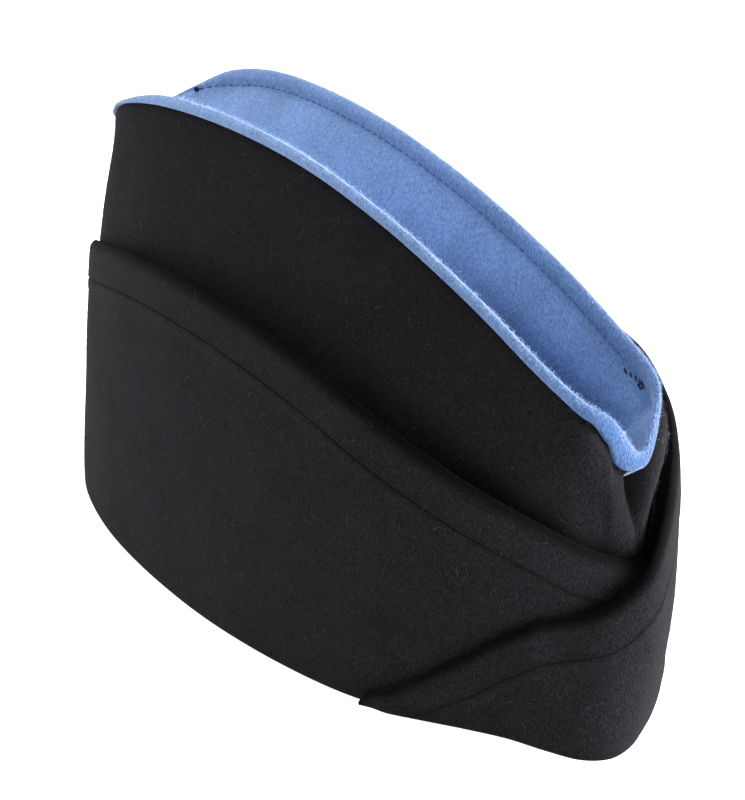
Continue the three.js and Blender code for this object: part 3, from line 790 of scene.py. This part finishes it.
def fuzz(name, grid, way, count, look, weight, seed, material, shade=None):
    """Loose fibres: thin curved spindles rooted at random on a grid, as often as area times weight.

    Each leans along the cloth in a random direction, rises by its lift and curls sideways. The way,
    1 or -1, turns the grid's normals out of the cloth."""
    draw = np.random.default_rng(seed)
    normal = grid_normals(grid) * way
    edge_a = grid[1:, :-1] - grid[:-1, :-1]
    edge_b = grid[:-1, 1:] - grid[:-1, :-1]
    chance = np.linalg.norm(np.cross(edge_a, edge_b), axis=-1) * weight[:-1, :-1]
    cell = draw.choice(chance.size, count, p=chance.ravel() / chance.sum())
    column, row = np.unravel_index(cell, chance.shape)
    u, v = draw.uniform(size=(2, count, 1))
    root = grid[column, row] + edge_a[column, row] * u + edge_b[column, row] * v
    out = normal[column, row]
    turn = draw.normal(size=(count, 3)) + np.array(look["comb"])
    flat = unit(turn - out * (turn * out).sum(1, keepdims=True))
    across = np.cross(out, flat)
    size = np.minimum(draw.lognormal(0.0, FIBRE["vary"], (count, 1, 1)), FIBRE["longest"])
    size = look["length"] * size
    rise = look["lift"] * draw.uniform(FIBRE["lift"], 1.0, (count, 1, 1))
    curl = np.clip(draw.normal(0.0, look["curl"], (count, 1, 1)), -FIBRE["curl"], FIBRE["curl"])
    part = np.array(look["stations"])[None, :, None]
    centres = (
        root[:, None]
        + flat[:, None] * size * part
        + out[:, None] * (size * rise * np.sin(part * FIBRE["arch"]) - FIBRE_ROOT)
        + across[:, None] * size * curl * part**2
    )
    centres[..., 2] = np.maximum(centres[..., 2], FIBRE_LOWEST)
    thickness = look["radius"] * draw.uniform(FIBRE["thin"], FIBRE["thick"], (count, 1))
    radii = thickness * np.ones((1, len(look["stations"])))
    points, quads, triangles = spindles(centres, across, radii, FIBRE_SIDES)
    # the fibres take the painted shade of the cloth at their roots
    tone = np.ones(count) if shade is None else shade[column, row]
    piece = make_piece(name, points, quads, triangles, material, np.repeat(tone, len(points) // count))


def set_inputs(node, values):
    """Values of a node's inputs, set by their names."""
    for name, value in values.items():
        node.inputs[name].default_value = value


def new_material(name):
    """Empty node material with its output and one Principled shader."""
    material = bpy.data.materials.new(name)
    material.use_nodes = True
    tree = material.node_tree
    return material, tree, tree.nodes["Principled BSDF"]


def add_noise(tree, scale, detail, stretch=(1.0, 1.0, 1.0), distortion=0.0):
    """Noise on Object coordinates, stretched along the axes; returns its value socket."""
    coordinate = tree.nodes.new("ShaderNodeTexCoord")
    mapping = tree.nodes.new("ShaderNodeMapping")
    mapping.inputs["Scale"].default_value = stretch
    noise = tree.nodes.new("ShaderNodeTexNoise")
    set_inputs(noise, {"Scale": scale, "Detail": detail, "Roughness": 0.6, "Distortion": distortion})
    tree.links.new(coordinate.outputs["Object"], mapping.inputs["Vector"])
    tree.links.new(mapping.outputs["Vector"], noise.inputs["Vector"])
    return noise.outputs["Fac"]


def add_ramp(tree, value, stops):
    """Colour ramp from (place, colour) stops; returns its colour socket."""
    ramp = tree.nodes.new("ShaderNodeValToRGB")
    elements = ramp.color_ramp.elements
    for element, (place, colour) in zip(elements, (stops[0], stops[-1])):
        element.position = place
        element.color = (*colour, 1.0)
    for place, colour in stops[1:-1]:
        elements.new(place).color = (*colour, 1.0)
    tree.links.new(value, ramp.inputs["Fac"])
    return ramp.outputs["Color"]


def add_mix(tree, first, second, part, blend="MIX"):
    """Mix of two colour sockets, by a number or a value socket."""
    node = tree.nodes.new("ShaderNodeMix")
    node.data_type = "RGBA"
    node.blend_type = blend
    tree.links.new(first, node.inputs["A"])
    tree.links.new(second, node.inputs["B"])
    if isinstance(part, float):
        node.inputs["Factor"].default_value = part
    else:
        tree.links.new(part, node.inputs["Factor"])
    return node.outputs["Result"]


def add_bump(tree, value, strength, distance, before=None):
    """Bump from a value socket on top of an earlier bump; returns its normal socket."""
    node = tree.nodes.new("ShaderNodeBump")
    set_inputs(node, {"Strength": strength, "Distance": distance})
    tree.links.new(value, node.inputs["Height"])
    if before is not None:
        tree.links.new(before, node.inputs["Normal"])
    return node.outputs["Normal"]


def add_shade(tree, colour, deep):
    """Colour multiplied by the mesh's painted shade, which runs from a deep tone at 0 to white at 1."""
    attribute = tree.nodes.new("ShaderNodeAttribute")
    attribute.attribute_name = "shade"
    tint = add_ramp(tree, attribute.outputs["Fac"], [(0.0, deep), (1.0, (1.0, 1.0, 1.0))])
    return add_mix(tree, colour, tint, 1.0, "MULTIPLY")


def felt_material(name, tones, deep, grain, sheen):
    """Felted wool: fine mottling of three tones under broad clouds, and two sizes of fibre in the bump."""
    material, tree, shader = new_material(name)
    clouds = add_noise(tree, scale=60.0, detail=3.0)
    mottle = add_noise(tree, grain, detail=5.0, stretch=(1.0, 1.0, 0.5), distortion=0.2)
    specks = add_noise(tree, scale=3200.0, detail=2.0)
    broad = add_ramp(tree, clouds, [(0.3, (0.8, 0.8, 0.8)), (0.7, (1.0, 1.0, 1.0))])
    fine = add_ramp(tree, mottle, list(zip((0.34, 0.5, 0.68), tones)))
    colour = add_shade(tree, add_mix(tree, fine, broad, 1.0, "MULTIPLY"), deep)
    tree.links.new(colour, shader.inputs["Base Color"])
    nap = add_bump(tree, mottle, strength=0.6, distance=0.0008)
    fibres = add_bump(tree, specks, strength=0.5, distance=0.0003, before=nap)
    tree.links.new(fibres, shader.inputs["Normal"])
    set_inputs(shader, {"Roughness": 0.95, "Specular IOR Level": 0.05, **sheen})
    return material


def thread_material(name, dark, light):
    """Twisted sewing thread: fine streaks of two tones and a slight gloss."""
    material, tree, shader = new_material(name)
    twist = add_noise(tree, scale=3000.0, detail=2.0)
    tree.links.new(add_ramp(tree, twist, [(0.35, dark), (0.7, light)]), shader.inputs["Base Color"])
    tree.links.new(add_bump(tree, twist, strength=0.4, distance=0.0002), shader.inputs["Normal"])
    set_inputs(shader, {"Roughness": 0.8, "Specular IOR Level": 0.15})
    return material


def fibre_material(name, dark, light, deep):
    """Single wool fibres, each a little lighter or darker than the next."""
    material, tree, shader = new_material(name)
    tone = add_noise(tree, scale=420.0, detail=1.0)
    colour = add_ramp(tree, tone, [(0.4, dark), (0.75, light)])
    tree.links.new(add_shade(tree, colour, deep), shader.inputs["Base Color"])
    set_inputs(shader, {"Roughness": 0.8, "Specular IOR Level": 0.2})
    return material


BLACK_TONES = ((0.0044, 0.0044, 0.0052), (0.0097, 0.0097, 0.0114), (0.021, 0.021, 0.0242))
BLUE_TONES = ((0.155, 0.27, 0.53), (0.235, 0.38, 0.665), (0.33, 0.495, 0.78))
# Deep tones that the painted shade darkens toward; the blue one keeps a blue tint, as light bounced inside
# blue folds gives
BLACK_DEEP = (0.0, 0.0, 0.0)
BLUE_DEEP = (0.0, 0.08, 0.2)
BLACK_SHEEN = {"Sheen Weight": 0.03, "Sheen Roughness": 0.3, "Sheen Tint": (0.85, 0.83, 1.0, 1.0)}
BLUE_SHEEN = {"Sheen Weight": 0.55, "Sheen Roughness": 0.36, "Sheen Tint": (0.88, 0.92, 1.0, 1.0)}
BLACK_FELT = felt_material("black_felt", BLACK_TONES, BLACK_DEEP, grain=2500.0, sheen=BLACK_SHEEN)
BLUE_CLOTH = felt_material("blue_cloth", BLUE_TONES, BLUE_DEEP, grain=1700.0, sheen=BLUE_SHEEN)
BLACK_THREAD = thread_material("black_thread", (0.002, 0.002, 0.0025), (0.006, 0.006, 0.0065))
BLUE_THREAD = thread_material("blue_thread", (0.02, 0.04, 0.11), (0.1, 0.18, 0.38))
DARK_THREAD = thread_material("dark_thread", (0.006, 0.01, 0.03), (0.03, 0.05, 0.12))
BLACK_NAP = fibre_material("black_nap", (0.006, 0.006, 0.0065), (0.022, 0.022, 0.025), BLACK_DEEP)
BLACK_FIBRE = fibre_material("black_fibre", (0.02, 0.02, 0.023), (0.15, 0.15, 0.165), BLACK_DEEP)
BLUE_NAP = fibre_material("blue_nap", (0.18, 0.31, 0.6), (0.42, 0.58, 0.86), BLUE_DEEP)
BLUE_FIBRE = fibre_material("blue_fibre", (0.3, 0.45, 0.75), (0.6, 0.72, 0.92), BLUE_DEEP)
# Lighter blue fibres for the crest: a painted highlight standing in for the crest's backlit fuzz
BLUE_CREST_PAINTED_HIGHLIGHT = fibre_material("blue_crest_painted_highlight", (0.36, 0.5, 0.8), (0.66, 0.76, 0.95), BLUE_DEEP)
# Pale fibres for the far panel's front edge: a painted highlight standing in for edge fuzz lit from behind
PAINTED_HIGHLIGHT_FIBRE = fibre_material("painted_highlight_fibre", (0.08, 0.08, 0.09), (0.3, 0.3, 0.33), BLACK_DEEP)

crown_right, crown_right_face = crown_panel("crown_panel_right", "right", BLACK_FELT)
crown_left, crown_left_face = crown_panel("crown_panel_left", "left", BLACK_FELT)
top_piece, top_rows, top_shade = blue_top("blue_top_cloth", BLUE_CLOTH)
curtain_right, right_face = turn_up(
    "turn_up_right", "right", fold_line, hem_line, RIGHT_CURTAIN_END, RIGHT_FOLD, NO_TIP, BLACK_FELT, 310
)
left_end, left_tip = FLAP_TIP["end"], FLAP_TIP["share"]
curtain_left, left_face = turn_up(
    "turn_up_left", "left", wrap_fold, wrap_hem, left_end, LEFT_FOLD, left_tip, BLACK_FELT, 400
)
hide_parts("crown_side_right")
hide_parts("crown_side_left")
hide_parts("top_gusset")
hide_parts("curtain_right")
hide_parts("curtain_left")


def hem_stitches(name, side, fold, hem):
    """Stitch row of a turn-up, the hem's width from its edge, down to where it meets the base."""
    along = np.linspace(HEM_STITCH["start"], 1.0, HEM_STITCH["count"])
    height = hem(along)[:, 2]
    z = height - HEM_WIDTH * hem_share(side, along) / edge_cosine(hem, along)
    kept = z > HEM_STITCH["lowest"]
    along, z, height = along[kept], z[kept], height[kept]
    inset = np.full_like(z, HEM_GROOVE["depth"] - HEM_STITCH["above"])
    path = wall_point(fold, hem, along, z / height, inset) * TURNS[side]
    stitch_row(name, path, outward_of(fold, along) * TURNS[side], BLACK_THREAD)


hem_stitches("hem_stitches_right", "right", fold_line, hem_line)
hem_stitches("hem_stitches_left", "left", wrap_fold, wrap_hem)


def ridge_stitches(name, side, end):
    """Stitch row at the foot of the blue ridge, on its inner side."""
    share = np.linspace(RIDGE_STITCH["start"], end, RIDGE_STITCH["count"])
    path = ridge_inner(side, share, *RIDGE_INNER[STITCH_ROW]) * TURNS[side]
    inward = -outward_of(RIMS[side], share) * TURNS[side]
    normal = unit(inward + UP * RIDGE_STITCH["tilt"])
    stitch_row(name, path, normal, BLUE_THREAD, lift=RIDGE_STITCH["lift"])


def on_ridge(share, drop):
    """Point on the inner side of the left ridge, a drop below its rim, and the cloth's normal there."""
    inset = np.interp(drop, RIDGE_INNER[::-1, 1], RIDGE_INNER[::-1, 0])
    inward = -outward_of(RIMS["left"], share)
    return ridge_inner("left", share, inset, drop), unit(inward + UP * RIDGE_STITCH["tilt"])


def hand_tacks(name):
    """Row of short dark hand stitches at the front end of the far ridge, each slanting a little."""
    span = TACKS["to"] - TACKS["from"]
    start = TACKS["from"] + np.arange(TACKS["count"]) * span / TACKS["count"]
    part = np.linspace(0.0, 1.0, TACK_STRAND["stations"])
    share = start[:, None] + part[None] * span / TACKS["count"]
    climb = TACKS["climb"] * (start[:, None] - TACKS["from"]) / span
    drop = TACKS["drop"] - climb + TACKS["slant"] * (part[None] - 0.5)
    point, normal = on_ridge(share, drop)
    bow = np.sin(math.pi * part)
    centres = point + normal * (TACK_STRAND["bow"] * bow - TACK_STRAND["sunk"])[None, :, None]
    radii = np.broadcast_to(TACK_STRAND["radius"] * np.maximum(bow, TACK_STRAND["thin"]), share.shape)
    middle = normal[:, TACK_STRAND["stations"] // 2]
    piece = make_piece(name, *spindles(centres, middle, radii, THREAD_SIDES), DARK_THREAD)


def coil(name, share, drop, radius, turns, height):
    """Dark thread wound in a coil that rises along the cloth's normal: a knot or a loop of one turn."""
    point, normal = on_ridge(np.array([share]), np.array([drop]))
    first = unit(np.cross(normal, np.array([0.0, 0.0, 1.0])))
    second = np.cross(normal, first)
    part = np.linspace(0.0, 1.0, int(COIL["steps"] * turns) + 1)[None, :, None]
    angle = 2 * math.pi * turns * part
    around = first[:, None] * np.cos(angle) + second[:, None] * np.sin(angle)
    centres = point[:, None] + around * radius + normal[:, None] * (COIL["lift"] + height * part)
    radii = np.full(centres.shape[:2], TACK_STRAND["radius"])
    piece = make_piece(name, *spindles(centres, normal, radii, THREAD_SIDES), DARK_THREAD)


ridge_stitches("ridge_stitches_left", "left", TACKS["from"])
hand_tacks("ridge_tacks")
loop_drop = TACKS["drop"] - TACKS["climb"] + LOOP["below"]
coil("tack_loop", TACKS["to"] + LOOP["past"], loop_drop, radius=0.8, turns=1.1, height=0.5)
coil("thread_knot", KNOT["share"], KNOT["drop"], radius=0.5, turns=3.0, height=1.0)
ridge_stitches("ridge_stitches_right", "right", RIDGE_STITCH["right_end"])

# Nap and longer loose fibres of each cloth: stations are shares of a strand, comb is the way it leans
SHORT = (0.0, 0.3, 1.0)
LONG = (0.0, 0.25, 0.5, 0.75, 1.0)
NAP = {"length": 0.55, "lift": 0.9, "curl": 0.2, "radius": 0.032, "stations": SHORT, "comb": (0, 0, 0.6)}
LOOSE = {"length": 1.5, "lift": 0.5, "curl": 1.5, "radius": 0.02, "stations": LONG, "comb": (0, 0, 0)}
FRONT_FRINGE = dict(NAP, length=1.2, radius=0.025, lift=0.9, comb=(0.6, 0.6, 0.4))
BLUE_STROKES = dict(NAP, length=0.6, radius=0.03, lift=0.5, comb=(0.0, 0.0, -2.2))
FRINGE = dict(NAP, length=0.9, radius=0.024, lift=1.2, comb=(0.0, 0.0, 0.8))

# Where fibres grow: heights over the fold, depths below the hem's edge, heights from the hem on a panel,
# the front fringe's place on the left panel, and the row and spread of the crest's extra weight
FOLD_FADE = (1.5, 3.0)
EDGE_FADE = (0.5, 3.0)
COVER_FADE = (-14.0, -9.0)
FRINGE_PLACE = {"share": 0.85, "spread": 0.05, "heights": (36.0, 46.0), "least": 1e-6}
CREST_EXTRA = {"row": CREST + 1, "spread": 4.0}


def edge_weight(face, hem, end):
    """Weight 1 over a turn-up's wall, nothing on its hem's edge and on the fold beneath."""
    along = np.linspace(0.0, 1.0, len(face))[:, None] * end
    below = hem(along)[..., 2] - face[..., 2]
    return ease(face[..., 2], *FOLD_FADE) * ease(below, *EDGE_FADE)


def crown_weight(face):
    """Weight 1 over the part of a side panel that shows above the hem of its turn-up."""
    hem_height = hem_line(seam_spread(len(face)))[:, None, 2]
    return ease(face[..., 2], *(hem_height + step for step in COVER_FADE))


def top_weight(rows, last, extra):
    """Weight 1 over the blue top's upper side as far as a row of the lip, and extra along the crest."""
    place = np.arange(rows.shape[1])
    end = CREST + DENSE * (last + 1)
    weight = 1 + extra * bump(place, CREST_EXTRA["row"], CREST_EXTRA["spread"])
    weight = np.where(place < end, weight, 0.0)
    return np.broadcast_to(weight, rows.shape[:2])


CLOTHS = (
    ("crown_right", crown_right_face, 1.0, crown_weight(crown_right_face), 5000, 500),
    ("crown_left", crown_left_face, -1.0, crown_weight(crown_left_face), 2500, 200),
    ("turn_up_right", right_face, 1.0, edge_weight(right_face, hem_line, RIGHT_CURTAIN_END), 8000, 800),
    ("turn_up_left", left_face, -1.0, edge_weight(left_face, wrap_hem, FLAP_TIP["end"]), 8000, 900),
)
for number, (cloth, face, way, weight, nap_count, loose_count) in enumerate(CLOTHS):
    fuzz(cloth + "_nap", face, way, nap_count, NAP, weight, 20 + number, BLACK_NAP)
    fuzz(cloth + "_fibres", face, way, loose_count, LOOSE, weight, 40 + number, BLACK_FIBRE)
front_share = seam_spread(len(crown_left_face))[:, None]
front_weight = bump(front_share, FRINGE_PLACE["share"], FRINGE_PLACE["spread"])
front_weight = front_weight * ease(crown_left_face[..., 2], *FRINGE_PLACE["heights"])
front_weight = front_weight + FRINGE_PLACE["least"]
# pale fibres here are a painted highlight of the lit edge fuzz
fuzz("front_fringe", crown_left_face, -1.0, 600, FRONT_FRINGE, front_weight, 45, PAINTED_HIGHLIGHT_FIBRE)
nap_weight = top_weight(top_rows, LIP_END_ROW - 1, 1.0)
fringe_weight = top_weight(top_rows, 1, 200.0)
loose_weight = top_weight(top_rows, 1, 7.0)
fuzz("blue_nap", top_rows, 1.0, 16000, BLUE_STROKES, nap_weight, 30, BLUE_NAP, top_shade)
# the crest fringe's lighter colour is a painted highlight of backlit fuzz
fuzz("blue_fringe", top_rows, 1.0, 9000, FRINGE, fringe_weight, 31, BLUE_CREST_PAINTED_HIGHLIGHT)
fuzz("blue_fibres", top_rows, 1.0, 900, LOOSE, loose_weight, 50, BLUE_FIBRE, top_shade)

# Studio: pale glowing floor, soft light from all round, the camera at the picture's angle
floor_mesh = bpy.data.meshes.new("floor")
FLOOR_HALF = 6.0
floor_corners = [(x * FLOOR_HALF, y * FLOOR_HALF, 0) for x, y in ((-1, -1), (1, -1), (1, 1), (-1, 1))]
floor_mesh.from_pydata(floor_corners, [], [(0, 1, 2, 3)])
floor_material, _, floor_shader = new_material("pale_floor")
set_inputs(floor_shader, {
    "Base Color": (0.9, 0.89, 0.9, 1.0),
    "Roughness": 0.9,
    "Emission Color": (1.0, 0.99, 1.0, 1.0),
    "Emission Strength": 0.78,
})
floor_mesh.materials.append(floor_material)
floor = bpy.data.objects.new("floor", floor_mesh)
bpy.context.scene.collection.objects.link(floor)

world = bpy.data.worlds.new("studio")
world.use_nodes = True
set_inputs(world.node_tree.nodes["Background"], {"Color": (1.0, 1.0, 1.0, 1.0), "Strength": 0.3})
bpy.context.scene.world = world
bpy.context.scene.view_settings.view_transform = "Standard"


def soft_light(name, place, aim, size, power):
    """Square soft light at a place, turned to the point it lights."""
    data = bpy.data.lights.new(name, "AREA")
    data.size = size
    data.energy = power
    lamp = bpy.data.objects.new(name, data)
    lamp.location = place
    lamp.rotation_euler = (Vector(aim) - Vector(place)).to_track_quat("-Z", "Y").to_euler()
    bpy.context.scene.collection.objects.link(lamp)


CAP_MIDDLE = (0.0, 0.0, 0.06)
soft_light("side_light", (1.1, 0.85, 0.4), CAP_MIDDLE, size=0.9, power=72.0)
soft_light("top_light", (-0.3, 0.1, 1.4), CAP_MIDDLE, size=1.2, power=13.0)
soft_light("key_light", (0.3, -0.75, 0.66), CAP_MIDDLE, size=0.6, power=2.8)
soft_light("left_light", (-1.1, -0.35, 0.3), (-0.05, 0.0, 0.05), size=0.7, power=7.0)
soft_light("rim_light", (0.45, 1.2, 0.5), CAP_MIDDLE, size=0.8, power=9.0)

CAMERA = {"azimuth": 49.36, "elevation": 22.45, "distance": 0.61511, "lens": 94.51}
CAMERA_SHIFT = (0.01106, -0.01797)
CAMERA_TARGET = Vector((-MIDDLE_X * MM, 0.0, 0.06))
camera_data = bpy.data.cameras.new("camera")
camera_data.lens = CAMERA["lens"]
camera_data.shift_x, camera_data.shift_y = CAMERA_SHIFT
camera_data.clip_start = 0.01
camera = bpy.data.objects.new("camera", camera_data)
turn_angle, tilt_angle = math.radians(CAMERA["azimuth"]), math.radians(CAMERA["elevation"])
toward_camera = Vector((
    math.sin(turn_angle) * math.cos(tilt_angle),
    -math.cos(turn_angle) * math.cos(tilt_angle),
    math.sin(tilt_angle),
))
camera.location = CAMERA_TARGET + toward_camera * CAMERA["distance"]
camera.rotation_euler = (-toward_camera).to_track_quat("-Z", "Y").to_euler()
bpy.context.scene.collection.objects.link(camera)
bpy.context.scene.camera = camera
